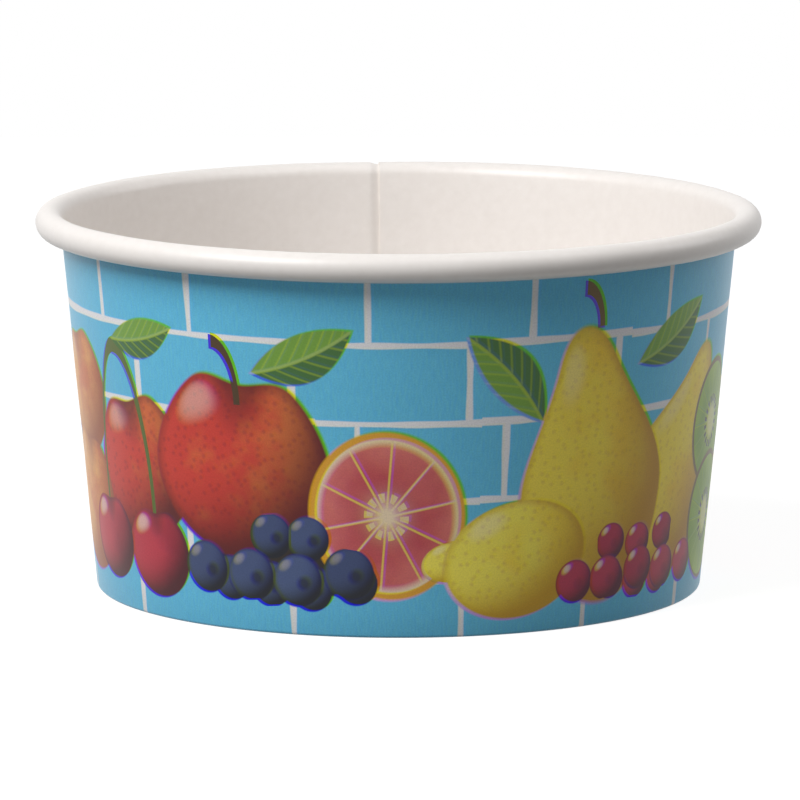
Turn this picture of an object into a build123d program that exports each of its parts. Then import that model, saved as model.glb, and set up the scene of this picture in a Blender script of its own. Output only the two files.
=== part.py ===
"""Paper dessert cup: a conical board wall with a rolled rim and a side seam, on a recessed floor.

Millimetres, +Z up. The origin is on the cup's axis, at the height of the table.
The wall is one blank of coated board. It is wrapped round until its ends overlap at the side seam,
its top edge is curled outwards into the rim, and its bottom edge is folded in and up round the
skirt of the floor. The floor is a second, thinner piece: a disc with its edge turned down.
"""

from build123d import *

import os
from math import asin, atan2, cos, degrees, hypot, radians, sin, tan

# ---- Driving dimensions ----
rim_diameter = 90.0  # over the rolled rim
base_diameter = 75.2  # over the foot, at the table
cup_height = 47.3  # table to the top of the rim
bead_diameter = 3.45  # of the rolled rim's section
wall_board = 0.42  # thickness of the wall's board
floor_board = 0.34  # thickness of the floor's board
floor_height = 6.0  # table to the top of the floor
floor_corner = 0.8  # outside radius where the floor turns down into its skirt
lip_gap = 0.6  # from the start of that corner down to the end of the folded-in lip
fold_radius = 0.06  # inside radius of the two bends of the fold
seal_gap = 0.02  # film of coating between two sealed faces
skirt_gap = 0.12  # between the end of the skirt and the fold

# The curl of the rim is three arcs, each of a smaller radius than the one before it.
# A turn is in degrees, from the wall over the top, down the outside and back in underneath.
curl_outer_turn = 250.0  # where the bead's own arc ends
curl_mid_turn = 290.0
curl_end_turn = 400.0
curl_tuck = 0.275  # how much smaller the second arc's radius is than the bead's
curl_clearance = 0.1  # between the curled-in end and the outside of the seam

# The side seam is at the back. The blank's inner edge shows inside, and its outer edge outside.
inner_edge_angle = 93.4  # from +X, in degrees
seam_overlap = 7.0  # width of the overlap, round the wall
seam_step = 0.3  # height of the outer edge, once it is pressed
seam_bite = 0.1  # how deep the outer layer is bonded into the inner one
seam_ramp = 1.2  # width in which the outer layer comes down past the inner edge
groove_width = 0.25  # gap beside the inner edge, round the wall
groove_backing = 0.16  # board left behind that gap
seam_top_gap = 2.0  # from the end of the outer layer to the top of the rim

# ---- Places that follow from them ----
bead_radius = bead_diameter / 2
curl_centre = Vector(rim_diameter / 2 - bead_radius, cup_height - bead_radius)
flare = curl_centre.X - base_diameter / 2
lean = atan2(flare, curl_centre.Y) - asin((bead_radius - wall_board) / hypot(flare, curl_centre.Y))
lean_degrees = degrees(lean)  # of the wall, from upright
foot = Vector(base_diameter / 2 - wall_board / cos(lean), 0)  # inside face of the wall

up = Vector(sin(lean), cos(lean))  # along the wall
out = Vector(cos(lean), -sin(lean))  # square to the wall, away from the axis
down = Vector(0, -1)


def wall_point(height, depth):
    """Point of the section at this height, this far out from the inside face of the wall."""
    return foot + Vector(height * tan(lean) + depth / cos(lean), height)


def curl_direction(turn):
    """Unit vector from the centre of a curl arc to the board, at this turn."""
    return up * sin(radians(turn)) - out * cos(radians(turn))


# The last arc is as wide as it can be, with its nearest point to the wall clear of the seam.
curl_mid_radius = bead_radius - curl_tuck
mid_centre = curl_centre + curl_direction(curl_outer_turn) * curl_tuck
mid_end_depth = (mid_centre + curl_direction(curl_mid_turn) * curl_mid_radius - foot).dot(out)
nearest_depth = wall_board + seam_step + curl_clearance
curl_end_radius = (mid_end_depth - nearest_depth) / (1 - cos(radians(curl_mid_turn)))
end_centre = mid_centre + curl_direction(curl_mid_turn) * (curl_mid_radius - curl_end_radius)
curl_arcs = [
    (curl_centre, bead_radius, 0, curl_outer_turn),
    (mid_centre, curl_mid_radius, curl_outer_turn, curl_mid_turn),
    (end_centre, curl_end_radius, curl_mid_turn, curl_end_turn),
]

lip_depth = -(floor_board + 2 * seal_gap)  # the lip's sealed face, across the skirt from the wall
lip_height = floor_height - floor_corner - lip_gap
fold_height = wall_board + fold_radius  # of the centres of the fold's two bends
wall_bend = wall_point(fold_height, -fold_radius)
lip_bend = wall_point(fold_height, lip_depth + fold_radius)
lip_end = wall_point(lip_height, lip_depth)
skirt_end = wall_board + skirt_gap

mid_wall_radius = wall_point(cup_height / 2, 0).X


def angle_of(width):
    """Angle in degrees that a width round the wall takes at half height."""
    return degrees(width / mid_wall_radius)


def axial_plane(angle):
    """Upright plane through the cup's axis, at this angle from +X."""
    across = (cos(radians(angle)), sin(radians(angle)), 0)
    return Plane(origin=(0, 0, 0), x_dir=across, z_dir=(across[1], -across[0], 0))


def draw_curl(depth, last_arc=len(curl_arcs)):
    """Draws the board's face at this depth along the curl. The outside of the bead is depth 0."""
    for centre, radius, turn, next_turn in curl_arcs[:last_arc]:
        CenterArc((centre.X, centre.Y), radius - depth, 180 - lean_degrees - turn, turn - next_turn)


def draw_fold(depth):
    """Draws the board's face at this depth from the lip's end, round the fold, to the wall."""
    bend = fold_radius + depth
    Line(lip_end - out * depth, lip_bend - out * bend)
    CenterArc((lip_bend.X, lip_bend.Y), bend, 180 - lean_degrees, 90 + lean_degrees)
    Line(lip_bend + down * bend, wall_bend + down * bend)
    CenterArc((wall_bend.X, wall_bend.Y), bend, -90, 90 - lean_degrees)


def curl_start(depth):
    """Where the wall meets the curl, at this depth."""
    return curl_centre - out * (bead_radius - depth)


def curl_point(depth, arc):
    """End of one of the curl's arcs, at this depth."""
    centre, radius, _, turn = curl_arcs[arc]
    return centre + curl_direction(turn) * (radius - depth)


# ---- Side wall: the wrapped blank, with its rolled rim, folded foot and side seam ----
overlap_heights = (fold_height, cup_height - seam_top_gap)
outer_edge_angle = inner_edge_angle - angle_of(seam_overlap)
ramp_end_angle = inner_edge_angle + angle_of(groove_width + seam_ramp)


def draw_overlap(height):
    """Plan of the seam's outer layer at this height: square at its raw edge, ramped at the other."""
    inner_radius = wall_point(height, wall_board - seam_bite).X
    outer_radius = wall_point(height, wall_board + seam_step).X
    layer = CenterArc((0, 0), outer_radius, outer_edge_angle, inner_edge_angle - outer_edge_angle)
    bonded = CenterArc((0, 0), inner_radius, outer_edge_angle, ramp_end_angle - outer_edge_angle)
    Line(layer @ 0, bonded @ 0)
    Line(layer @ 1, bonded @ 1)


with BuildPart() as side_wall:
    with BuildSketch(Plane.XZ):
        with BuildLine():
            for face_depth in (0, wall_board):
                draw_fold(face_depth)
                Line(wall_bend + out * (fold_radius + face_depth), curl_start(face_depth))
                draw_curl(face_depth)
            Line(lip_end, lip_end - out * wall_board)
            Line(curl_point(0, -1), curl_point(wall_board, -1))
        make_face()
    revolve(axis=Axis.Z)

    # The gap beside the blank's inner edge, up the inside of the wall and over the rim.
    groove_faces = (-seal_gap, wall_board - groove_backing)
    with BuildSketch(axial_plane(inner_edge_angle)):
        with BuildLine():
            for face_depth in groove_faces:
                Line(wall_point(fold_height, face_depth), curl_start(face_depth))
                draw_curl(face_depth, last_arc=2)
            Line(*(wall_point(fold_height, face_depth) for face_depth in groove_faces))
            Line(*(curl_point(face_depth, 1) for face_depth in groove_faces))
        make_face()
    revolve(axis=Axis.Z, revolution_arc=angle_of(groove_width), mode=Mode.SUBTRACT)

    # The outer layer of the overlap, from the fold to just under the rim.
    for overlap_height in overlap_heights:
        with BuildSketch(Plane.XY.offset(overlap_height)):
            with BuildLine():
                draw_overlap(overlap_height)
            make_face()
    loft(ruled=True)

# ---- Floor: a disc with its edge turned down, sealed between the wall and the lip ----
corner_centre = wall_point(floor_height - floor_corner, -seal_gap - floor_corner)

with BuildPart() as floor:
    with BuildSketch(Plane.XZ):
        with BuildLine():
            for face_depth in (0, floor_board):
                corner = floor_corner - face_depth
                Line((0, floor_height - face_depth), corner_centre - down * corner)
                CenterArc((corner_centre.X, corner_centre.Y), corner, 90, -90 - lean_degrees)
                Line(corner_centre + out * corner, wall_point(skirt_end, -seal_gap - face_depth))
            Line((0, floor_height), (0, floor_height - floor_board))
            Line(wall_point(skirt_end, -seal_gap), wall_point(skirt_end, -seal_gap - floor_board))
        make_face()
    revolve(axis=Axis.Z)

# ---- Export ----
os.makedirs("parts", exist_ok=True)
for label, piece in {"side_wall": side_wall.part, "floor": floor.part}.items():
    piece.label = label
    export_step(piece, f"parts/{label}.step")
    print(label, "volume", round(piece.volume, 1), "mm3, valid", piece.is_valid)
print("wall leans", round(lean_degrees, 3), "degrees")
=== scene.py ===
# A paper dessert cup, printed with fruit on blue tiles. Metres, with the cup's axis on Z.
import bpy
from math import asin, atan2, cos, degrees, hypot, pi, radians, sin, tan
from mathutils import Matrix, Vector


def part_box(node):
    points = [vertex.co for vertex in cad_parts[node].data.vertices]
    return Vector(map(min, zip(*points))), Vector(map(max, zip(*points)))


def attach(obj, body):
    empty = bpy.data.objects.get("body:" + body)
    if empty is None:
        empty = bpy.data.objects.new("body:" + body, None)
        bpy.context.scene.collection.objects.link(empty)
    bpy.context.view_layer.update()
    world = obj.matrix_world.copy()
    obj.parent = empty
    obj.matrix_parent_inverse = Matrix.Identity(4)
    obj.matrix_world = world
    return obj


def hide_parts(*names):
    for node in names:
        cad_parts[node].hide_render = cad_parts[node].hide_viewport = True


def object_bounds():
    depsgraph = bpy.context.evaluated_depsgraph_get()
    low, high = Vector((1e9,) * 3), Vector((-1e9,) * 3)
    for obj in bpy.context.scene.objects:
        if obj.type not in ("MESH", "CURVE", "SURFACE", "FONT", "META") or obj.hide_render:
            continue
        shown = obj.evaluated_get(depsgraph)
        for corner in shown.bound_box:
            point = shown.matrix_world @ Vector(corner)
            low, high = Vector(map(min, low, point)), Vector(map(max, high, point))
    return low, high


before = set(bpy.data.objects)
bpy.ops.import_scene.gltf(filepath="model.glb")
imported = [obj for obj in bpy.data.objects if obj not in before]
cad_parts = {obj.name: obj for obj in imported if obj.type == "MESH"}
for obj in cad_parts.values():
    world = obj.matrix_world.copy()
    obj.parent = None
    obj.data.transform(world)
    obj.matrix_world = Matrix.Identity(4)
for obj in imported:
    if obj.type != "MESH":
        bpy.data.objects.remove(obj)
cadLow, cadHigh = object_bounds()
mm = 0.001


def linearColour(hexCode):  # sRGB hex to the linear colour that a socket takes
    channels = [int(hexCode[i:i + 2], 16) / 255 for i in (1, 3, 5)]
    return [c / 12.92 if c <= 0.04045 else ((c + 0.055) / 1.055) ** 2.4 for c in channels] + [1.0]


def addNode(tree, kind, inputs=None, **settings):  # a node with its settings, values and links
    node = tree.nodes.new(kind if kind.startswith("Node") else "ShaderNode" + kind)
    for name, value in settings.items():
        setattr(node, name, value)
    for socket, value in (inputs or {}).items():
        if isinstance(value, bpy.types.Node):  # a node gives its first output that is in use
            value = next(output for output in value.outputs if output.enabled)
        if isinstance(value, bpy.types.NodeSocket):
            tree.links.new(value, node.inputs[socket])
        elif isinstance(value, str):
            node.inputs[socket].default_value = linearColour(value)
        else:
            node.inputs[socket].default_value = value
    return node


def newMaterial(name):
    material = bpy.data.materials.new(name)
    material.use_nodes = True
    material.node_tree.nodes.clear()
    return material, material.node_tree


def deselectAll():
    bpy.ops.object.select_all(action="DESELECT")


def pickVertices(piece, test):  # in edit mode, selects the vertices that pass the test and no others
    bpy.ops.mesh.select_all(action="DESELECT")
    bpy.ops.object.mode_set(mode="OBJECT")
    for vertex in piece.data.vertices:
        vertex.select = test(vertex)
    bpy.ops.object.mode_set(mode="EDIT")


# The cup's section, in the XZ plane: the same runs and arcs as the CAD part's.
cup = {
    "footRadius": 37.6 * mm,  # outside of the wall, on the table
    "beadRadius": 1.725 * mm,  # rolled rim
    "board": 0.42 * mm,
    "floorBoard": 0.34 * mm,
    "foldRadius": 0.06 * mm,
    "sealGap": 0.02 * mm,
    "lipTop": 4.6 * mm,
    "curlTurns": (250, 290, 400),  # degrees of the roll where its three arcs end
    "curlTuck": 0.275 * mm,
    "curlClearance": 0.1 * mm,
    "seamAngle": 93.4,  # degrees from +X, where the blank's inner end shows inside
    "overlap": 7.0 * mm,
    "ramp": 1.3 * mm,  # width in which the outer end steps out past the inner end
    "seamStep": 0.3 * mm,  # how far it steps out, once the seam is pressed
    "buttGap": 0.08 * mm,  # between the two ends at the foot, where the outer end is trimmed off
    "steps": 352,  # round the cup
    "rampShares": (0.12, 0.38, 0.38, 0.12),  # of the step, one after another
    "lapSteps": 10,
    "lipSteps": 6,
    "bendSteps": 3,
    "runSteps": 14,  # up the wall
    "curlSteps": (16, 6, 3, 7),  # half way round the bead, the rest of it, and the two smaller arcs
    "ridges": 88,  # knurls that crimp the folded lip
    "ridgeDepth": 0.13 * mm,
    "wave": 0.16 * mm,
    "waveSize": 16 * mm,
    "stiffFoot": 12 * mm,
    "sharpEdge": 40,  # degrees
}
rimRadius = cadHigh.x
cupHeight = cadHigh.z
beadCentre = Vector((rimRadius - cup["beadRadius"], 0, cupHeight - cup["beadRadius"]))
flare = beadCentre.x - cup["footRadius"]
lean = atan2(flare, beadCentre.z) - asin((cup["beadRadius"] - cup["board"]) / hypot(flare, beadCentre.z))
upWall = Vector((sin(lean), 0, cos(lean)))
outWall = Vector((cos(lean), 0, -sin(lean)))
footInside = Vector((cup["footRadius"] - cup["board"] / cos(lean), 0, 0))


def wallPoint(height, depth):  # a point of the section, this far out from the wall's inside face
    return footInside + Vector((height * tan(lean) + depth / cos(lean), 0, height))


def curlWay(turn):  # from the bead's centre to its board, at this turn from the wall over the top
    return upWall * sin(radians(turn)) - outWall * cos(radians(turn))


beadTurn, midTurn, endTurn = cup["curlTurns"]
midRadius = cup["beadRadius"] - cup["curlTuck"]
midCentre = beadCentre + curlWay(beadTurn) * cup["curlTuck"]
midReach = (midCentre + curlWay(midTurn) * midRadius - footInside).dot(outWall)
seamTop = cup["board"] + cup["seamStep"] + cup["curlClearance"]
endRadius = (midReach - seamTop) / (1 - cos(radians(midTurn)))
endCentre = midCentre + curlWay(midTurn) * (midRadius - endRadius)
lipDepth = -(cup["floorBoard"] + 2 * cup["sealGap"])
foldHeight = cup["board"] + cup["foldRadius"]
wallBend = wallPoint(foldHeight, -cup["foldRadius"])
lipBend = wallPoint(foldHeight, lipDepth + cup["foldRadius"])
girthRadius = wallPoint(cupHeight / 2, cup["board"]).x  # outside of the wall at half height


def startProfile(name, start):  # a plane collapsed to one vertex, from which a section is drawn
    deselectAll()
    bpy.ops.mesh.primitive_plane_add(size=cup["board"])
    piece = bpy.context.object
    piece.name = piece.data.name = name
    bpy.ops.object.mode_set(mode="EDIT")
    bpy.ops.mesh.merge(type="CENTER")
    bpy.ops.transform.translate(value=start)
    return piece


def drawRun(start, end, steps=1):  # extrudes the section's end in a straight line
    for _ in range(steps):
        bpy.ops.mesh.extrude_vertices_move(TRANSFORM_OT_translate={"value": (end - start) / steps})


def drawArc(centre, turn, steps):  # spins the section's end round a centre, positive from +X to +Z
    bpy.ops.mesh.spin(steps=steps, angle=radians(turn), center=centre, axis=(0, 1, 0))


def nameStretch(piece, name):  # a group of the vertices drawn since the last one
    bpy.ops.object.mode_set(mode="OBJECT")
    drawn = list(range(piece.get("drawn", 0), len(piece.data.vertices)))
    for earlier in piece.vertex_groups:  # a drawn vertex starts in the group that it is drawn from
        earlier.remove(drawn)
    piece.vertex_groups.new(name=name).add(drawn, 1, "REPLACE")
    piece["drawn"] = len(piece.data.vertices)
    bpy.ops.object.mode_set(mode="EDIT")


def pickNewest(piece, ring, *stretches):  # selects these stretches of the section that was spun last
    groups = [piece.vertex_groups[name].index for name in stretches]
    pickVertices(piece, lambda vertex: (
        vertex.index >= len(piece.data.vertices) - ring and vertex.groups[0].group in groups))


def waveBoard(piece):  # board is never quite round or flat: the foot is stiff, and the rim gives more
    lip = piece.vertex_groups["lip"].index
    free = piece.vertex_groups.new(name="free")
    for vertex in piece.data.vertices:
        height = 0 if vertex.groups[0].group == lip else (vertex.co.z - foldHeight) / cup["stiffFoot"]
        free.add([vertex.index], min(1, max(0, height)), "REPLACE")
    texture = bpy.data.textures.new("boardWave", "CLOUDS")
    texture.noise_scale = cup["waveSize"]
    texture.noise_depth = 1
    wave = piece.modifiers.new("wave", "DISPLACE")
    wave.texture = texture
    wave.texture_coords = "LOCAL"
    wave.strength = cup["wave"]
    wave.vertex_group = "free"
    bpy.ops.object.modifier_apply(modifier="wave")


def thicken(piece, thickness, *finishes):  # finishes of the outside, of the inside and of the cut edges
    for finish in finishes:
        piece.data.materials.append(finish)
    layer = piece.modifiers.new("board", "SOLIDIFY")
    layer.thickness = thickness
    layer.offset = 1
    layer.use_even_offset = True
    layer.material_offset = 1
    layer.material_offset_rim = 2
    bpy.ops.object.modifier_apply(modifier="board")
    bpy.ops.object.shade_smooth_by_angle(angle=radians(cup["sharpEdge"]))


def pressRidges(wall):  # one column of the lip in each few is the crest of a knurl
    pitch = 2 * pi / cup["steps"]
    perRidge = cup["steps"] // cup["ridges"]
    for offset, share in ((0, 0.5), (1, 1), (2, 0.5)):
        pickVertices(wall, lambda vertex: (
            2 * foldHeight < vertex.co.z < cup["lipTop"] - cup["board"]
            and hypot(vertex.co.x, vertex.co.y) < footInside.x - cup["floorBoard"]
            and round(-atan2(vertex.co.y, vertex.co.x) / pitch) % perRidge == offset))
        bpy.ops.transform.shrink_fatten(value=share * cup["ridgeDepth"])


def markReach(wall):  # writes on each vertex of the drawn section how far along it lies
    bpy.ops.object.mode_set(mode="OBJECT")
    reach = wall.data.attributes.new("reach", "FLOAT", "POINT").data
    beside = [[] for _ in wall.data.vertices]
    for edge in wall.data.edges:
        first, second = edge.vertices
        beside[first].append(second)
        beside[second].append(first)
    here, before, length = 0, None, 0
    while here is not None:
        reach[here].value = length
        onward = next((other for other in beside[here] if other != before), None)
        if onward is not None:
            length += (wall.data.vertices[onward].co - wall.data.vertices[here].co).length
        here, before = onward, here
    bpy.ops.object.mode_set(mode="EDIT")


def markGirth(wall, ring):  # and how far round the cup, on past one turn where the sheet laps over
    girth = wall.data.attributes.new("girth", "FLOAT", "POINT").data
    lastTurn = 2 * pi - cup["buttGap"] / girthRadius / 2
    lapStart = ring * (1 + cup["steps"] + len(cup["rampShares"]))
    for vertex in wall.data.vertices:
        turned = -atan2(vertex.co.y, vertex.co.x) % (2 * pi)
        if turned > lastTurn:
            turned = 0
        if vertex.index >= lapStart:
            turned += 2 * pi
        girth[vertex.index].value = turned * girthRadius


blankMap = {  # millimetres on the map of the unrolled blank, on which its finishes can be baked
    "margin": 0.65,
    "gap": 0.8,
    "edgeWidth": 0.4,
    "upright": 0.01,  # an edge narrower than this, round the cup, is an upright one
    # the print or the coating, then fold, wall or curl, then how much it is squeezed up and round
    "strips": (
        (0, 1, 1, 1),  # the printed wall, in two halves one above the other
        (1, 1, 0.32, 0.5),
        (0, 0, 1, 0.5),
        (0, 2, 0.75, 0.5),
        (1, 0, 0.25, 0.5),
        (1, 2, 0.12, 0.5),
    ),
}


def unrollWall(wall):
    reach, girth = (
        [item.value / mm for item in wall.data.attributes[name].data] for name in ("reach", "girth"))
    folded = [wall.vertex_groups[name].index for name in ("lip", "fold")]
    foldEnd = max(reach[vertex.index] for vertex in wall.data.vertices
                  if vertex.groups[0].group in folded)
    curlStart = foldEnd + (beadCentre - outWall * cup["beadRadius"] - wallBend).length / mm
    ends = (0, foldEnd, curlStart, max(reach))
    half = max(girth) / 2
    gap = blankMap["gap"]
    strips = {}
    above = gap
    for finish, part, squeeze, shrink in blankMap["strips"]:
        strips[finish, part] = (above, squeeze, shrink)
        rows = 2 if shrink == 1 else 1
        above += rows * ((ends[part + 1] - ends[part]) * squeeze + gap)

    sheet = half + 2 * blankMap["margin"]
    layout = wall.data.uv_layers.new(name="OFBake").data
    for face in wall.data.polygons:
        along = sum(reach[index] for index in face.vertices) / len(face.vertices)
        turned = sum(girth[index] for index in face.vertices) / len(face.vertices)
        span = max(girth[index] for index in face.vertices) - min(girth[index] for index in face.vertices)
        part = 0 if along < foldEnd else 1 if along < curlStart else 2
        for loop, index in zip(face.loop_indices, face.vertices):
            if face.material_index < 2:
                start, squeeze, shrink = strips[face.material_index, part]
                u = girth[index] * shrink
                v = start + (reach[index] - ends[part]) * squeeze
                if shrink == 1 and turned > half:
                    u -= half
                    v += curlStart - foldEnd + gap
            else:  # cut edges: the lip's, the curl's, and the two upright ones side by side
                row = 0 if along < curlStart else 1
                u = girth[index] / 2
                if span < blankMap["upright"]:
                    row = 2
                    u = reach[index] + (half / 2 if turned > 1 else 0)
                outerSide = index >= len(reach) // 2
                v = above + row * (blankMap["edgeWidth"] + gap) + outerSide * blankMap["edgeWidth"]
            layout[loop].uv = ((u + blankMap["margin"]) / sheet, v / sheet)
    for name in ("reach", "girth"):
        wall.data.attributes.remove(wall.data.attributes[name])


def buildWall():
    lipStart = wallPoint(cup["lipTop"], lipDepth)
    wall = startProfile("cupWall", lipStart)
    drawRun(lipStart, lipBend - outWall * cup["foldRadius"], cup["lipSteps"])
    nameStretch(wall, "lip")
    drawArc(lipBend, 90 + degrees(lean), cup["bendSteps"])
    drawRun(lipBend, wallBend)
    drawArc(wallBend, 90 - degrees(lean), cup["bendSteps"])
    nameStretch(wall, "fold")
    runStart = wallBend + outWall * cup["foldRadius"]
    drawRun(runStart, beadCentre - outWall * cup["beadRadius"], cup["runSteps"])
    topSteps, outerSteps, midSteps, endSteps = cup["curlSteps"]
    drawArc(beadCentre, -180, topSteps)
    nameStretch(wall, "run")
    drawArc(beadCentre, 180 - beadTurn, outerSteps)
    drawArc(midCentre, beadTurn - midTurn, midSteps)
    nameStretch(wall, "under")
    drawArc(endCentre, midTurn - endTurn, endSteps)
    nameStretch(wall, "tail")

    # the sheet goes once round from the blank's inner end, then steps out and laps over it
    ring = wall["drawn"]
    markReach(wall)
    bpy.ops.mesh.select_all(action="SELECT")
    axis = {"center": (0, 0, 0), "axis": (0, 0, 1)}
    rampAngle = cup["ramp"] / girthRadius
    buttAngle = cup["buttGap"] / girthRadius
    bpy.ops.mesh.spin(steps=cup["steps"], angle=2 * pi - rampAngle, **axis)
    for share in cup["rampShares"]:
        bpy.ops.mesh.spin(steps=1, angle=(rampAngle - buttAngle) / len(cup["rampShares"]), **axis)
        pickNewest(wall, ring, "run", "under")
        bpy.ops.transform.shrink_fatten(value=share * cup["seamStep"])
        pickNewest(wall, ring, "lip", "fold", "run", "under", "tail")
    pickNewest(wall, ring, "run")
    bpy.ops.mesh.spin(steps=cup["lapSteps"], angle=cup["overlap"] / girthRadius, **axis)
    pressRidges(wall)
    bpy.ops.object.mode_set(mode="OBJECT")
    markGirth(wall, ring)

    wall.rotation_euler.z = radians(cup["seamAngle"])
    bpy.ops.object.transform_apply(location=False, rotation=True, scale=False)
    waveBoard(wall)
    thicken(wall, cup["board"], printedBoard, coatedBoard, cutEdge)
    unrollWall(wall)
    return wall


disc = {
    "corner": 0.8 * mm,  # outside radius where the floor turns down into its skirt
    "dish": 0.5 * mm,  # how hollow the floor is pressed in its middle
    "rings": 12,
    "cornerSteps": 6,
    "skirtSteps": 5,
    "steps": 176,
}


def buildFloor():
    skirtEnd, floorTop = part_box("floor")[0].z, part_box("floor")[1].z
    cornerCentre = wallPoint(floorTop - disc["corner"], -cup["sealGap"] - disc["corner"])
    shares = [ring / disc["rings"] for ring in range(disc["rings"] + 1)]
    rings = [Vector((cornerCentre.x * share, 0, floorTop - disc["dish"] * (1 - share ** 2) ** 2))
             for share in shares]
    floorDisc = startProfile("cupFloor", rings[0])
    for start, end in zip(rings, rings[1:]):
        drawRun(start, end)
    drawArc(cornerCentre, -90 - degrees(lean), disc["cornerSteps"])
    skirtTop = cornerCentre + outWall * disc["corner"]
    drawRun(skirtTop, wallPoint(skirtEnd, -cup["sealGap"]), disc["skirtSteps"])
    bpy.ops.mesh.select_all(action="SELECT")
    bpy.ops.mesh.spin(steps=disc["steps"], angle=2 * pi, center=(0, 0, 0), axis=(0, 0, 1))
    bpy.ops.mesh.select_all(action="SELECT")
    bpy.ops.mesh.remove_doubles(threshold=cup["sealGap"] / 10)
    bpy.ops.object.mode_set(mode="OBJECT")
    thicken(floorDisc, cup["floorBoard"], plainBoard, coatedBoard, cutEdge)
    return floorDisc


board = {
    "fibre": 0.45 * mm,  # clumps of fibres under the surface
    "cloud": 1.1 * mm,
    "swell": 7 * mm,  # the board's slow unevenness
    "swellHeight": 0.05 * mm,
    "filmFibre": 0.004 * mm,  # how high the fibres stand under a film or a varnish
    "coated": ("#f4efeb", "#ebe5e0"),  # inside, light and dark
    "bare": ("#eee9e4", "#e4ddd7"),  # outside, on the rim and the margin
}


def boardRelief(tree, place, fibreHeight):
    fibres = addNode(tree, "TexNoise", {"Vector": place, "Scale": 1 / board["fibre"], "Detail": 3})
    swells = addNode(tree, "TexNoise", {"Vector": place, "Scale": 1 / board["swell"], "Detail": 1})
    low = addNode(tree, "Bump", {"Height": swells, "Distance": board["swellHeight"]})
    return addNode(tree, "Bump", {"Height": fibres, "Distance": fibreHeight, "Normal": low})


def makeBoard(name, light, dark, roughness, fibreHeight):
    material, tree = newMaterial(name)
    place = addNode(tree, "TexCoord").outputs["Object"]
    cloud = addNode(tree, "TexNoise", {"Vector": place, "Scale": 1 / board["cloud"], "Detail": 4})
    tint = addNode(tree, "Mix", {0: cloud, 6: dark, 7: light}, data_type="RGBA")
    relief = boardRelief(tree, place, fibreHeight)
    shader = addNode(tree, "BsdfPrincipled", {
        "Base Color": tint, "Roughness": roughness, "IOR": 1.5, "Normal": relief})
    addNode(tree, "OutputMaterial", {"Surface": shader})
    return material


# bleached cup board under a polyethylene film: white, a little warm, and softly glossy
coatedBoard = makeBoard("coatedBoard", *board["coated"], roughness=0.38, fibreHeight=board["filmFibre"])
# the same board with no film: matt, and its fibres show
plainBoard = makeBoard("plainBoard", "#ece5dc", "#dcd4c9", roughness=0.85, fibreHeight=0.012 * mm)
# where the blank was die-cut, through the film and the fibres
cutEdge = makeBoard("cutEdge", "#f2ede6", "#ddd4c8", roughness=0.9, fibreHeight=0.02 * mm)

printing = {  # millimetres: round the cup from the middle of the front, and up from the table
    "repeats": 2,
    "top": 43.6,  # a thin white margin is left under the rim
    "tileHeight": 9.6,
    "firstJoint": 7.4,
    "tileWidth": 20.0,
    "joint": (0.3, 0.5),  # least and most half width of the white joints
    "jointEdge": 0.08,
    "jointWave": 25 / 3,  # length over which a joint's width changes
    "jog": 0.4,  # how unevenly the rows meet
    "bond": 7.31,  # tiles that each row's uprights are moved along by
    "uneven": 0.75,  # how much the tiles' widths differ, of 1
    "blues": ("#60bde4", "#6ecbee"),
    "jointWhite": "#efeff2",
    "slip": (0.34, 0.22, 0),  # the yellow plate's error in register
    "lapSlip": (1.1, -0.3, 0),  # how far the print's two ends miss each other at the seam
    "fibre": (0.28, 1.5, 1),  # streaks of the board's fibres in the flat blue
    "grain": 0.2,  # of the printing screen, drawn coarse enough to show
    "grainShade": 0.88,
    "marginEdge": 0.1,
    "blotch": 6.25,  # clouds of tone in the fruit's skin
    "pore": 4 / 3,  # distance between the dots in it
    "light": Vector((-0.5, 0.62, 0.6)).normalized(),  # painted into the fruit
}
halfRepeat = pi * girthRadius / mm / printing["repeats"]  # millimetres to each side of a design's middle


# a place takes this little of the colour under it, so that the layers are worked out one at a time
trace = (1e-6, 1e-6, 1e-6)


def newBrush(name, colours, numbers):  # a shape laid on a canvas at its own place, half size and turn
    brush = bpy.data.node_groups.new(name, "ShaderNodeTree")
    for kind, names in (("Color", ["Canvas", *colours]), ("Vector", ["Place", "At", "Size", "Turn"]),
                        ("Float", ["Cloud", "Pores", *numbers])):
        for socket in names:
            brush.interface.new_socket(socket, in_out="INPUT", socket_type="NodeSocket" + kind)
    brush.interface.new_socket("Canvas", in_out="OUTPUT", socket_type="NodeSocketColor")
    given = addNode(brush, "NodeGroupInput").outputs
    place = addNode(brush, "VectorMath", {0: given["Canvas"], 1: trace, 2: given["Place"]},
                    operation="MULTIPLY_ADD")
    own = addNode(brush, "Mapping", {"Vector": place, "Location": given["At"],
                                     "Rotation": given["Turn"], "Scale": given["Size"]},
                  vector_type="TEXTURE")
    return brush, given, place, own


def layOn(brush, given, colour, mask):
    laid = addNode(brush, "Mix", {0: mask, 6: given["Canvas"], 7: colour}, data_type="RGBA")
    addNode(brush, "NodeGroupOutput", {0: laid})
    return brush


ball = {  # how round things are painted; light runs from -1 to 1, and reach from the middle to 1
    "darkest": -0.35,
    "lightest": 0.75,
    "glint": 0.93,
    "glintColour": "#fff4e6",
    "outline": 0.88,
    "outlineInk": 0.5,
    "edge": (1.02, 0.99),  # where the shape ends, and where it is solid
}


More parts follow.
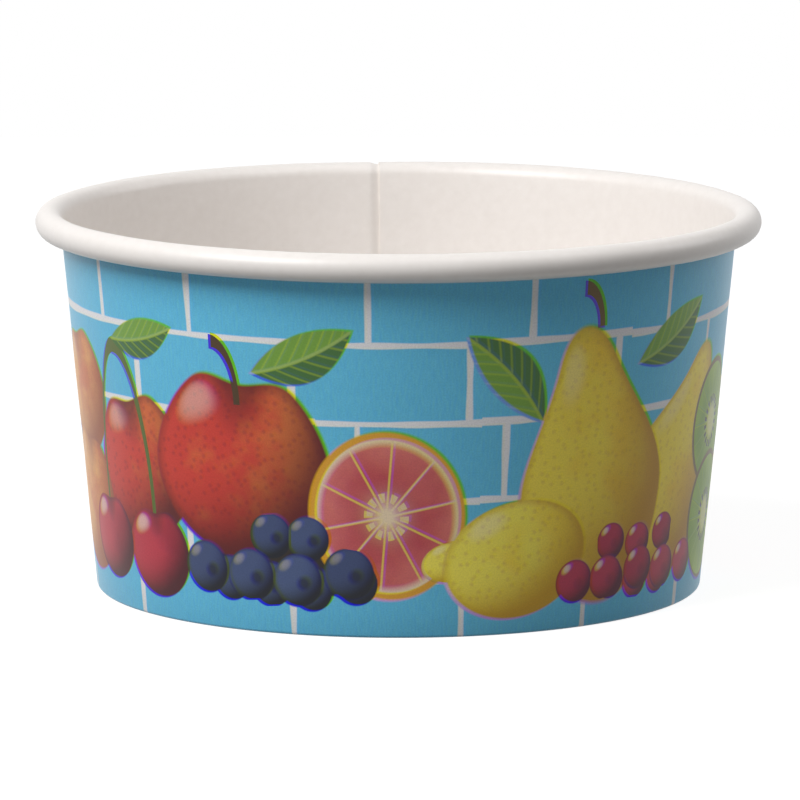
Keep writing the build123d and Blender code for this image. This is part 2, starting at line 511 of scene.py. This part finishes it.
def shadeBall(brush, across, up, light):  # how far out a point is, and how much light it gets
    flat = addNode(brush, "CombineXYZ", {0: across, 1: up})
    square = addNode(brush, "VectorMath", {0: flat, 1: flat}, operation="DOT_PRODUCT")
    reach = addNode(brush, "Math", {0: square}, operation="SQRT")
    left = addNode(brush, "Math", {0: 1, 1: square}, operation="SUBTRACT", use_clamp=True)
    bulge = addNode(brush, "Math", {0: left}, operation="SQRT")
    facing = addNode(brush, "CombineXYZ", {0: across, 1: up, 2: bulge})
    return reach, addNode(brush, "VectorMath", {0: facing, 1: light}, operation="DOT_PRODUCT")


def paintBall(brush, given, skin, reach, lit):  # dark to light, with a firm outline and a glint
    tone = addNode(brush, "MapRange", {0: lit, 1: ball["darkest"], 2: ball["lightest"]},
                   interpolation_type="SMOOTHSTEP")
    body = addNode(brush, "Mix", {0: tone, 6: given["Dark"], 7: skin}, data_type="RGBA")
    outline = addNode(brush, "MapRange", {0: reach, 1: ball["outline"], 2: 1, 4: ball["outlineInk"]})
    body = addNode(brush, "Mix", {0: outline, 6: body, 7: given["Dark"]}, data_type="RGBA")
    glint = addNode(brush, "MapRange", {0: lit, 1: ball["glint"], 2: 1, 4: given["Gloss"]},
                    interpolation_type="SMOOTHSTEP")
    return addNode(brush, "Mix", {0: glint, 6: body, 7: ball["glintColour"]}, data_type="RGBA")


fruit = {  # of half the fruit's size; a range is where it starts, where it ends and how strong it is
    "dipWidth": 0.55,
    "dipDepth": 0.8,  # how far down the dip at the stalk pulls the skin
    "neckEnds": (-0.35, 0.75),
    "cheekLean": 0.3,  # the blush lies on the side away from the light
    "cheek": (0.4, 0.75, 0.9),
    "pore": (0.08, 0.3),
    "stalkHole": (0.05, 0.16, 0.75),
}


def makeFruitBrush():  # a ball that can have a neck, as a pear, or a dip at the stalk, as an apple
    brush, given, _, own = newBrush("fruitShape", ["Light", "Dark", "Blush"],
                                    ["Neck", "Dip", "Gloss", "Speckle"])
    side, height, _ = addNode(brush, "SeparateXYZ", {0: own}).outputs
    wide = addNode(brush, "Math", {0: side}, operation="ABSOLUTE")
    hollow = addNode(brush, "MapRange", {0: wide, 1: 0, 2: fruit["dipWidth"], 3: given["Dip"], 4: 0},
                     interpolation_type="SMOOTHSTEP")
    crown = addNode(brush, "MapRange", {0: height, 1: 0, 2: fruit["dipDepth"]})
    sunk = addNode(brush, "Math", {0: hollow, 1: crown}, operation="MULTIPLY")
    up = addNode(brush, "Math", {0: height, 1: sunk})
    low, high = fruit["neckEnds"]
    neck = addNode(brush, "MapRange", {0: up, 1: low, 2: high, 3: 1, 4: given["Neck"]},
                   interpolation_type="SMOOTHSTEP")
    across = addNode(brush, "Math", {0: side, 1: neck}, operation="DIVIDE")
    light = addNode(brush, "VectorRotate", {"Vector": printing["light"], "Rotation": given["Turn"]},
                    rotation_type="EULER_XYZ", invert=True)
    reach, lit = shadeBall(brush, across, up, light)
    cheek = addNode(brush, "Math", {0: across, 1: fruit["cheekLean"], 2: given["Cloud"]},
                    operation="MULTIPLY_ADD")
    low, high, most = fruit["cheek"]
    cheek = addNode(brush, "MapRange", {0: cheek, 1: low, 2: high, 4: most},
                    interpolation_type="SMOOTHSTEP")
    skin = addNode(brush, "Mix", {0: cheek, 6: given["Light"], 7: given["Blush"]}, data_type="RGBA")
    low, high = fruit["pore"]
    dots = addNode(brush, "MapRange", {0: given["Pores"], 1: low, 2: high, 3: given["Speckle"], 4: 0})
    skin = addNode(brush, "Mix", {0: dots, 6: skin, 7: given["Dark"]}, data_type="RGBA")
    body = paintBall(brush, given, skin, reach, lit)
    low, high, most = fruit["stalkHole"]
    stalkHole = addNode(brush, "MapRange", {0: sunk, 1: low, 2: high, 4: most})
    body = addNode(brush, "Mix", {0: stalkHole, 6: body, 7: given["Dark"]}, data_type="RGBA")
    outer, inner = ball["edge"]
    return layOn(brush, given, body, addNode(brush, "MapRange", {0: reach, 1: outer, 2: inner}))


bunch = {  # of a berry's radius
    "closeness": 0.48,  # 0.5 lets berries in line just touch
    "eye": (0.25, -0.1, 0),
    "eyeEdge": (0.16, 0.34),
    "edge": (1.04, 0.98),
}


def makeBerryBrush():  # every cell whose middle lies inside the outline is one berry
    brush, given, place, own = newBrush("berryBunch", ["Light", "Dark", "Blush"],
                                        ["Berry", "Loose", "Gloss", "Eye"])
    scale = addNode(brush, "Math", {0: bunch["closeness"], 1: given["Berry"]}, operation="DIVIDE")
    cell = addNode(brush, "TexVoronoi", {"Vector": place, "Scale": scale,
                                         "Randomness": given["Loose"]}, voronoi_dimensions="2D")
    middle = cell.outputs["Position"]
    brush.links.new(middle, own.inputs["Vector"])  # the outline is tested at the berry's middle
    away = addNode(brush, "VectorMath", {0: own}, operation="LENGTH")
    chosen = addNode(brush, "Math", {0: away, 1: 1}, operation="LESS_THAN")
    offset = addNode(brush, "VectorMath", {0: place, 1: middle}, operation="SUBTRACT")
    perBerry = addNode(brush, "Math", {0: 1, 1: given["Berry"]}, operation="DIVIDE")
    local = addNode(brush, "VectorMath", {0: offset, "Scale": perBerry}, operation="SCALE")
    across, up, _ = addNode(brush, "SeparateXYZ", {0: local}).outputs
    reach, lit = shadeBall(brush, across, up, printing["light"])
    skin = addNode(brush, "Mix", {0: cell.outputs["Color"], 6: given["Light"], 7: given["Blush"]},
                   data_type="RGBA")
    body = paintBall(brush, given, skin, reach, lit)
    toEye = addNode(brush, "VectorMath", {0: local, 1: bunch["eye"]}, operation="DISTANCE")
    inner, outer = bunch["eyeEdge"]
    eye = addNode(brush, "MapRange", {0: toEye, 1: inner, 2: outer, 3: given["Eye"], 4: 0})
    body = addNode(brush, "Mix", {0: eye, 6: body, 7: given["Dark"]}, data_type="RGBA")
    outer, inner = bunch["edge"]
    berry = addNode(brush, "MapRange", {0: reach, 1: outer, 2: inner})
    mask = addNode(brush, "Math", {0: berry, 1: chosen}, operation="MULTIPLY")
    return layOn(brush, given, body, mask)


blade = {  # of half the leaf's size, with ranges in the same order
    "halves": 0.08,  # blend between its light and dark halves
    "veinSlant": -0.5,
    "veinSpace": 0.13,
    "vein": (0.045, 0.4),
    "rib": (0.03, 0.1, 0.6),
    "edge": (1.03, 0.95),
}


def makeLeafBrush():  # pointed at both ends, with a midrib and slanting veins
    brush, given, _, own = newBrush("leafShape", ["Light", "Dark", "Rib"], ["Bend"])
    side, height, _ = addNode(brush, "SeparateXYZ", {0: own}).outputs
    square = addNode(brush, "Math", {0: height, 1: height}, operation="MULTIPLY")
    across = addNode(brush, "Math", {0: square, 1: given["Bend"], 2: side}, operation="MULTIPLY_ADD")
    wide = addNode(brush, "Math", {0: across}, operation="ABSOLUTE")
    outline = addNode(brush, "Math", {0: wide, 1: square})
    half = addNode(brush, "MapRange", {0: across, 1: -blade["halves"], 2: blade["halves"]})
    body = addNode(brush, "Mix", {0: half, 6: given["Light"], 7: given["Dark"]}, data_type="RGBA")
    slant = addNode(brush, "Math", {0: wide, 1: blade["veinSlant"], 2: height}, operation="MULTIPLY_ADD")
    veins = addNode(brush, "Math", {0: slant, 1: blade["veinSpace"]}, operation="PINGPONG")
    high, most = blade["vein"]
    veins = addNode(brush, "MapRange", {0: veins, 1: 0, 2: high, 3: most, 4: 0})
    low, high, most = blade["rib"]
    rib = addNode(brush, "MapRange", {0: wide, 1: low, 2: high, 3: most, 4: 0})
    lines = addNode(brush, "Math", {0: veins, 1: rib}, operation="MAXIMUM")
    body = addNode(brush, "Mix", {0: lines, 6: body, 7: given["Rib"]}, data_type="RGBA")
    outer, inner = blade["edge"]
    return layOn(brush, given, body, addNode(brush, "MapRange", {0: outline, 1: outer, 2: inner}))


def makeStalkBrush():  # a quarter of a ring, from its right end to its top
    brush, given, _, own = newBrush("stalkShape", ["Light"], ["Width"])
    side, height, _ = addNode(brush, "SeparateXYZ", {0: own}).outputs
    reach = addNode(brush, "VectorMath", {0: own}, operation="LENGTH")
    ring = addNode(brush, "Math", {0: reach, 1: 1, 2: given["Width"]}, operation="COMPARE")
    low = addNode(brush, "Math", {0: side, 1: height}, operation="MINIMUM")
    quarter = addNode(brush, "Math", {0: low, 1: 0}, operation="GREATER_THAN")
    mask = addNode(brush, "Math", {0: ring, 1: quarter}, operation="MULTIPLY")
    return layOn(brush, given, given["Light"], mask)


cut = {  # of half the slice's size
    "juice": (0.12, 0.5),
    "wall": (0.03, 0.1),
    "coreEnd": 0.6,
    "seedsOut": 0.16,  # from the core to the ring of seeds
    "seedLength": 0.055,
    "seedGap": 0.72,  # a seed shows where the wave between two walls is past this
    "pithEnd": 0.9,
    "rind": (0.91, 0.93),
}


def makeSliceBrush():  # rind, pith, juicy segments round a core, and seeds
    brush, given, _, own = newBrush("sliceShape", ["Light", "Dark", "Pith", "Rind", "Seed"],
                                    ["Parts", "Core", "Skin", "Wall"])
    side, height, _ = addNode(brush, "SeparateXYZ", {0: own}).outputs
    reach = addNode(brush, "VectorMath", {0: own}, operation="LENGTH")
    angle = addNode(brush, "Math", {0: height, 1: side}, operation="ARCTAN2")
    turns = addNode(brush, "Math", {0: angle, 1: given["Parts"]}, operation="MULTIPLY")
    swing = addNode(brush, "Math", {0: turns}, operation="SINE")
    wave = addNode(brush, "Math", {0: swing}, operation="ABSOLUTE")
    apart = addNode(brush, "Math", {0: wave, 1: reach}, operation="MULTIPLY")
    juicy = addNode(brush, "Math", {0: reach, 1: given["Cloud"]}, operation="MULTIPLY")
    low, high = cut["juice"]
    juicy = addNode(brush, "MapRange", {0: juicy, 1: low, 2: high})
    body = addNode(brush, "Mix", {0: juicy, 6: given["Dark"], 7: given["Light"]}, data_type="RGBA")
    low, high = cut["wall"]
    between = addNode(brush, "MapRange", {0: apart, 1: low, 2: high, 3: given["Wall"], 4: 0})
    body = addNode(brush, "Mix", {0: between, 6: body, 7: given["Pith"]}, data_type="RGBA")
    middle = addNode(brush, "MapRange", {0: reach, 1: given["Core"], 2: cut["coreEnd"], 3: 1, 4: 0})
    middle = addNode(brush, "Math", {0: middle, 1: 3}, operation="POWER")
    body = addNode(brush, "Mix", {0: middle, 6: body, 7: given["Pith"]}, data_type="RGBA")
    seedRing = addNode(brush, "Math", {0: given["Core"], 1: cut["seedsOut"]})
    seeds = addNode(brush, "Math", {0: reach, 1: seedRing, 2: cut["seedLength"]}, operation="COMPARE")
    inPart = addNode(brush, "Math", {0: wave, 1: cut["seedGap"]}, operation="GREATER_THAN")
    seeds = addNode(brush, "Math", {0: seeds, 1: inPart}, operation="MULTIPLY")
    body = addNode(brush, "Mix", {0: seeds, 6: body, 7: given["Seed"]}, data_type="RGBA")
    white = addNode(brush, "MapRange", {0: reach, 1: given["Skin"], 2: cut["pithEnd"]})
    body = addNode(brush, "Mix", {0: white, 6: body, 7: given["Pith"]}, data_type="RGBA")
    low, high = cut["rind"]
    rind = addNode(brush, "MapRange", {0: reach, 1: low, 2: high})
    body = addNode(brush, "Mix", {0: rind, 6: body, 7: given["Rind"]}, data_type="RGBA")
    outer, inner = ball["edge"]
    return layOn(brush, given, body, addNode(brush, "MapRange", {0: reach, 1: outer, 2: inner}))


brushes = {"fruit": makeFruitBrush(), "berries": makeBerryBrush(), "leaf": makeLeafBrush(),
           "stalk": makeStalkBrush(), "slice": makeSliceBrush()}
apple = {"Light": "#d2453a", "Dark": "#5c1a1a", "Blush": "#dc7d42", "Neck": 0.88, "Dip": 0.2,
         "Gloss": 0.32, "Speckle": 0.25}
cherry = {"Light": "#c23a4a", "Dark": "#471019", "Blush": "#a12a3b", "Neck": 1, "Dip": 0.14,
          "Gloss": 0.5, "Speckle": 0}
apricot = {"Light": "#ecab60", "Dark": "#9c5630", "Blush": "#d06d3c", "Neck": 0.96, "Dip": 0.16,
           "Gloss": 0.15, "Speckle": 0.12}
pear = {"Light": "#ffe85a", "Dark": "#bd8d28", "Blush": "#f9d248", "Neck": 0.5, "Dip": 0.05,
        "Gloss": 0.22, "Speckle": 0.22}
lemon = {"Light": "#fff064", "Dark": "#c89c2c", "Blush": "#fcde4c", "Neck": 1, "Dip": 0,
         "Gloss": 0.3, "Speckle": 0.28}
shade = {"Light": "#2b231d", "Dark": "#1c1a18", "Blush": "#2b231d", "Neck": 1, "Dip": 0,
         "Gloss": 0, "Speckle": 0}
blueberry = {"Light": "#4f5f86", "Dark": "#12151f", "Blush": "#39456a", "Berry": 3.2, "Loose": 0.2,
             "Gloss": 0.22, "Eye": 0.75}
currant = {"Light": "#c4455f", "Dark": "#50112a", "Blush": "#a62c4c", "Berry": 2.7, "Loose": 0.2,
           "Gloss": 0.7, "Eye": 0.25}
leaf = {"Light": "#78a343", "Dark": "#456f3b", "Rib": "#b7d078", "Bend": 0.3}
stalk = {"Light": "#5c6c30", "Width": 0.05}
grapefruit = {"Light": "#df7d76", "Dark": "#b83d4b", "Pith": "#f2dcba", "Rind": "#e3a73c",
              "Seed": "#e8cfa4", "Parts": 5, "Core": 0.07, "Skin": 0.82, "Wall": 0.8}
kiwi = {"Light": "#9fc044", "Dark": "#5f8d30", "Pith": "#e1e5a2", "Rind": "#6c5c30",
        "Seed": "#20241a", "Parts": 9, "Core": 0.2, "Skin": 0.9, "Wall": 0.25}
motifs = (  # brush, place of the middle, half size, turn in degrees, ink; the last one lies on top
    ("leaf", (13.5, 32), (3.1, 7.5), 42, leaf),
    ("leaf", (38, 34.5), (2.9, 7.2), -62, leaf),
    ("fruit", (-52.5, 26), (8.4, 8.2), 8, apricot),
    ("stalk", (22.5, 37), (2.6, 5.0), 0, {"Light": "#6b5630", "Width": 0.2}),
    ("fruit", (42, 19), (10.5, 15.5), -24, pear),
    ("fruit", (25.5, 20.5), (11.8, 17.8), 9, pear),
    ("fruit", (-37, 19), (9.6, 9.4), 10, apple),
    ("leaf", (-11.5, 34), (3.0, 7.0), -66, leaf),
    ("fruit", (-53, 12.5), (9.0, 9.2), -10, apricot),
    ("fruit", (-11, 11), (13, 6), 0, shade),
    ("fruit", (-20.5, 21), (12.6, 11.8), -5, apple),
    ("stalk", (-23.5, 28), (3.5, 7.5), 0, {"Light": "#4d3a22", "Width": 0.12}),
    ("stalk", (-41, 12.5), (6.5, 20.5), 0, stalk),
    ("stalk", (-41, 13.5), (-4.5, 19.5), 0, stalk),
    ("leaf", (-35, 34.5), (2.5, 6.0), -78, leaf),
    ("fruit", (-34.5, 8.2), (5.8, 5.6), 0, cherry),
    ("fruit", (-45.5, 8.8), (5.6, 5.4), 0, cherry),
    ("slice", (-1.5, 15), (9.6, 10.4), 12, grapefruit),
    ("fruit", (6.2, 9.2), (3.4, 2.5), 12, lemon),
    ("fruit", (15, 9.2), (9.6, 7.2), 12, lemon),
    ("slice", (52.5, 22), (7.2, 8.0), 0, kiwi),
    ("slice", (54, 10), (7.6, 8.3), 20, kiwi),
    ("berries", (-14, 9), (11, 4.6), 0, {**blueberry, "Berry": 2.75}),
    ("berries", (-15, 6.5), (13, 3.8), 0, blueberry),
    ("berries", (35, 8), (9, 4), 0, {**currant, "Berry": 2.3}),
    ("berries", (34, 5.5), (11.5, 3.2), 0, currant),
)


def paintTiles(tree, place):  # blue tiles in level rows, with upright joints where each row has its own
    across, up, _ = addNode(tree, "SeparateXYZ", {0: place}).outputs
    column = addNode(tree, "Math", {0: across, 1: printing["tileWidth"]}, operation="DIVIDE")
    column = addNode(tree, "Math", {0: column}, operation="ROUND")
    lift = addNode(tree, "TexWhiteNoise", {"W": column}, noise_dimensions="1D")
    lift = addNode(tree, "Math", {0: lift, 1: printing["jog"], 2: -printing["firstJoint"]},
                   operation="MULTIPLY_ADD")
    above = addNode(tree, "Math", {0: up, 1: lift})
    toLevel = addNode(tree, "Math", {0: above, 1: printing["tileHeight"] / 2}, operation="PINGPONG")
    row = addNode(tree, "Math", {0: above, 1: printing["tileHeight"]}, operation="DIVIDE")
    row = addNode(tree, "Math", {0: row}, operation="FLOOR")
    along = addNode(tree, "Math", {0: across, 1: printing["tileWidth"]}, operation="DIVIDE")
    along = addNode(tree, "Math", {0: row, 1: printing["bond"], 2: along}, operation="MULTIPLY_ADD")
    tiling = {"W": along, "Scale": 1, "Randomness": printing["uneven"]}
    toUpright = addNode(tree, "TexVoronoi", tiling, voronoi_dimensions="1D", feature="DISTANCE_TO_EDGE")
    toUpright = addNode(tree, "Math", {0: toUpright, 1: printing["tileWidth"]}, operation="MULTIPLY")
    gap = addNode(tree, "Math", {0: toLevel, 1: toUpright}, operation="MINIMUM")
    wave = addNode(tree, "TexNoise", {"Vector": place, "Scale": 1 / printing["jointWave"], "Detail": 0})
    least, most = printing["joint"]
    half = addNode(tree, "MapRange", {0: wave, 1: 0.35, 2: 0.65, 3: least, 4: most})
    past = addNode(tree, "Math", {0: gap, 1: half}, operation="SUBTRACT")
    edge = printing["jointEdge"]
    joint = addNode(tree, "MapRange", {0: past, 1: -edge, 2: edge, 3: 1, 4: 0})
    tile = addNode(tree, "TexVoronoi", tiling, voronoi_dimensions="1D")
    streaks = addNode(tree, "Mapping", {"Vector": place, "Scale": printing["fibre"]},
                      vector_type="TEXTURE")
    streaks = addNode(tree, "TexNoise", {"Vector": streaks, "Scale": 1, "Detail": 3})
    tone = addNode(tree, "Math", {0: tile.outputs["Color"], 1: 0.25, 2: streaks},
                   operation="MULTIPLY_ADD")
    tone = addNode(tree, "MapRange", {0: tone, 1: 0.35, 2: 0.9})
    dark, light = printing["blues"]
    blue = addNode(tree, "Mix", {0: tone, 6: dark, 7: light}, data_type="RGBA")
    return addNode(tree, "Mix", {0: joint, 6: blue, 7: printing["jointWhite"]}, data_type="RGBA")


def makePrint():  # the whole design, as a group that gives the colour at a place
    design = bpy.data.node_groups.new("fruitOnTiles", "ShaderNodeTree")
    design.interface.new_socket("Place", in_out="INPUT", socket_type="NodeSocketVector")
    design.interface.new_socket("Colour", in_out="OUTPUT", socket_type="NodeSocketColor")
    place = addNode(design, "NodeGroupInput").outputs["Place"]
    canvas = paintTiles(design, place)
    cloud = addNode(design, "TexNoise", {"Vector": place, "Scale": 1 / printing["blotch"], "Detail": 4})
    pores = addNode(design, "TexVoronoi", {"Vector": place, "Scale": 1 / printing["pore"]},
                    voronoi_dimensions="2D")
    for brush, (across, up), (halfWidth, halfHeight), turn, ink in motifs:
        canvas = addNode(design, "Group", {
            "Canvas": canvas, "Place": place, "At": (across, up, 0), "Size": (halfWidth, halfHeight, 1),
            "Turn": (0, 0, radians(turn)), "Cloud": cloud, "Pores": pores, **ink},
            node_tree=brushes[brush])
    addNode(design, "NodeGroupOutput", {0: canvas})
    return design


def makePrintedBoard():
    material, tree = newMaterial("printedBoard")
    place = addNode(tree, "TexCoord").outputs["Object"]
    x, y, z = addNode(tree, "SeparateXYZ", {0: place}).outputs
    toFront = addNode(tree, "Math", {0: y, 1: -1}, operation="MULTIPLY")
    angle = addNode(tree, "Math", {0: x, 1: toFront}, operation="ARCTAN2")
    across = addNode(tree, "Math", {0: angle, 1: girthRadius / mm}, operation="MULTIPLY")
    across = addNode(tree, "Math", {0: across, 1: halfRepeat, 2: -halfRepeat}, operation="WRAP")
    up = addNode(tree, "Math", {0: z, 1: 1 / mm}, operation="MULTIPLY")
    flat = addNode(tree, "CombineXYZ", {0: across, 1: up})

    # how far a point is outside the wall tells the seam's upper layer, and the inside of the fold
    plan = addNode(tree, "CombineXYZ", {0: x, 1: y})
    radius = addNode(tree, "VectorMath", {0: plan}, operation="LENGTH")
    outside = addNode(tree, "Math", {0: z, 1: tan(lean), 2: wallPoint(0, cup["board"]).x},
                      operation="MULTIPLY_ADD")
    proud = addNode(tree, "Math", {0: radius, 1: outside}, operation="SUBTRACT")
    lapped = addNode(tree, "Math", {0: proud, 1: cup["seamStep"] / 2}, operation="GREATER_THAN")
    flat = addNode(tree, "VectorMath", {0: lapped, 1: printing["lapSlip"], 2: flat},
                   operation="MULTIPLY_ADD")
    slipped = addNode(tree, "VectorMath", {0: flat, 1: printing["slip"]}, operation="SUBTRACT")

    design = makePrint()
    twoPlates = addNode(tree, "Group", {"Place": flat}, node_tree=design)
    slipped = addNode(tree, "VectorMath", {0: twoPlates, 1: trace, 2: slipped}, operation="MULTIPLY_ADD")
    yellowPlate = addNode(tree, "Group", {"Place": slipped}, node_tree=design)
    twoPlates = addNode(tree, "SeparateColor", {0: twoPlates}).outputs
    yellowPlate = addNode(tree, "SeparateColor", {0: yellowPlate}).outputs
    ink = addNode(tree, "CombineColor", {0: twoPlates[0], 1: twoPlates[1], 2: yellowPlate[2]})
    grain = addNode(tree, "TexNoise", {"Vector": flat, "Scale": 1 / printing["grain"], "Detail": 1})
    grain = addNode(tree, "MapRange", {0: grain, 1: 0.3, 2: 0.7, 3: printing["grainShade"], 4: 1})
    ink = addNode(tree, "Mix", {0: 1, 6: ink, 7: grain}, data_type="RGBA", blend_type="MULTIPLY")

    edge = printing["marginEdge"]
    belowMargin = addNode(tree, "MapRange", {0: up, 1: printing["top"] - edge, 2: printing["top"] + edge,
                                             3: 1, 4: 0})
    onWall = addNode(tree, "Math", {0: proud, 1: -cup["board"] / 2}, operation="GREATER_THAN")
    printed = addNode(tree, "Math", {0: belowMargin, 1: onWall}, operation="MULTIPLY")
    cloud = addNode(tree, "TexNoise", {"Vector": place, "Scale": 1 / board["cloud"], "Detail": 4})
    light, dark = board["bare"]
    bare = addNode(tree, "Mix", {0: cloud, 6: dark, 7: light}, data_type="RGBA")
    colour = addNode(tree, "Mix", {0: printed, 6: bare, 7: ink}, data_type="RGBA")
    relief = boardRelief(tree, place, board["filmFibre"])
    shader = addNode(tree, "BsdfPrincipled", {
        "Base Color": colour, "Roughness": 0.36, "IOR": 1.36, "Normal": relief})
    addNode(tree, "OutputMaterial", {"Surface": shader})
    return material


# the coated board, offset printed in four inks and varnished: satin, and white at a grazing view
printedBoard = makePrintedBoard()
print("finishes ready")

wall = buildWall()
print("wall", len(wall.data.polygons), "faces")
floorDisc = buildFloor()
print("floor", len(floorDisc.data.polygons), "faces")
for piece, node, slot in ((wall, "side_wall", "printed_board"), (floorDisc, "floor", "floor_board")):
    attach(piece, "root")
    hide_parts(node)


studio = {
    "tableSize": 0.9,
    "tableDim": "#8a8a8a",  # what lights the cup from below
    "tableFaint": "#909090",  # what takes the cup's shadow, over the glow
    "tableGlow": 0.88,
    "distance": 0.885,
    "elevation": 9.18,
    "aim": Vector((0, 0, 22.78 * mm)),
    "lens": 319.75,
    "sensor": 36,
    "shift": (0.0017, 0.001),
    "lamps": (  # azimuth and elevation from the camera's side in degrees, distance, size, watts
        ("keySoftbox", -52, 44, 0.9, 0.5, 7.4),
        ("topSoftbox", 65, 68, 0.9, 0.6, 1.5),
        ("sideSoftbox", 110, 25, 0.9, 0.4, 1.2),
    ),
    "ambient": 0.14,
}


def seenDirectly(tree):  # 1 for camera, mirror and glass rays
    path = addNode(tree, "LightPath")
    glossy, glassy = path.outputs["Is Glossy Ray"], path.outputs["Is Transmission Ray"]
    shiny = addNode(tree, "Math", {0: glossy, 1: glassy}, operation="MAXIMUM")
    return addNode(tree, "Math", {0: path.outputs["Is Camera Ray"], 1: shiny}, operation="MAXIMUM")


def buildTable():
    deselectAll()
    bpy.ops.mesh.primitive_plane_add(size=studio["tableSize"])
    table = bpy.context.object
    table.name = "table"
    material, tree = newMaterial("whitePaperRoll")
    dim = addNode(tree, "BsdfDiffuse", {"Color": studio["tableDim"]})
    faint = addNode(tree, "BsdfDiffuse", {"Color": studio["tableFaint"]})
    glow = addNode(tree, "Emission", {"Strength": studio["tableGlow"]})
    white = addNode(tree, "AddShader", {0: faint, 1: glow})
    shown = addNode(tree, "MixShader", {0: seenDirectly(tree), 1: dim, 2: white})
    addNode(tree, "OutputMaterial", {"Surface": shown})
    table.data.materials.append(material)


def addSoftbox(name, azimuth, elevation, distance, size, power):
    way = Vector((sin(radians(azimuth)) * cos(radians(elevation)),
                  -cos(radians(azimuth)) * cos(radians(elevation)), sin(radians(elevation))))
    bpy.ops.object.light_add(type="AREA", location=studio["aim"] + way * distance)
    lamp = bpy.context.object
    lamp.name = lamp.data.name = name
    lamp.data.size = size
    lamp.data.energy = power
    lamp.rotation_euler = way.to_track_quat("Z", "Y").to_euler()


def buildStudio():
    buildTable()
    for lamp in studio["lamps"]:
        addSoftbox(*lamp)
    world = bpy.data.worlds.new("studio")
    bpy.context.scene.world = world
    world.use_nodes = True
    world.node_tree.nodes.clear()
    tree = world.node_tree
    dim = addNode(tree, "Background", {"Color": "#ffffff", "Strength": studio["ambient"]})
    white = addNode(tree, "Background", {"Color": "#ffffff", "Strength": 1})
    shown = addNode(tree, "MixShader", {0: seenDirectly(tree), 1: dim, 2: white})
    addNode(tree, "OutputWorld", {"Surface": shown})
    bpy.context.scene.view_settings.view_transform = "Standard"


def placeCamera():
    tilt = radians(studio["elevation"])
    way = Vector((0, -cos(tilt), sin(tilt)))
    bpy.ops.object.camera_add(location=studio["aim"] + way * studio["distance"])
    camera = bpy.context.object
    camera.rotation_euler = way.to_track_quat("Z", "Y").to_euler()
    camera.data.lens = studio["lens"]
    camera.data.sensor_width = studio["sensor"]
    camera.data.shift_x, camera.data.shift_y = studio["shift"]
    camera.data.clip_start = 10 * mm
    camera.data.clip_end = studio["distance"] * 4
    bpy.context.scene.camera = camera


buildStudio()
placeCamera()
print("studio ready")
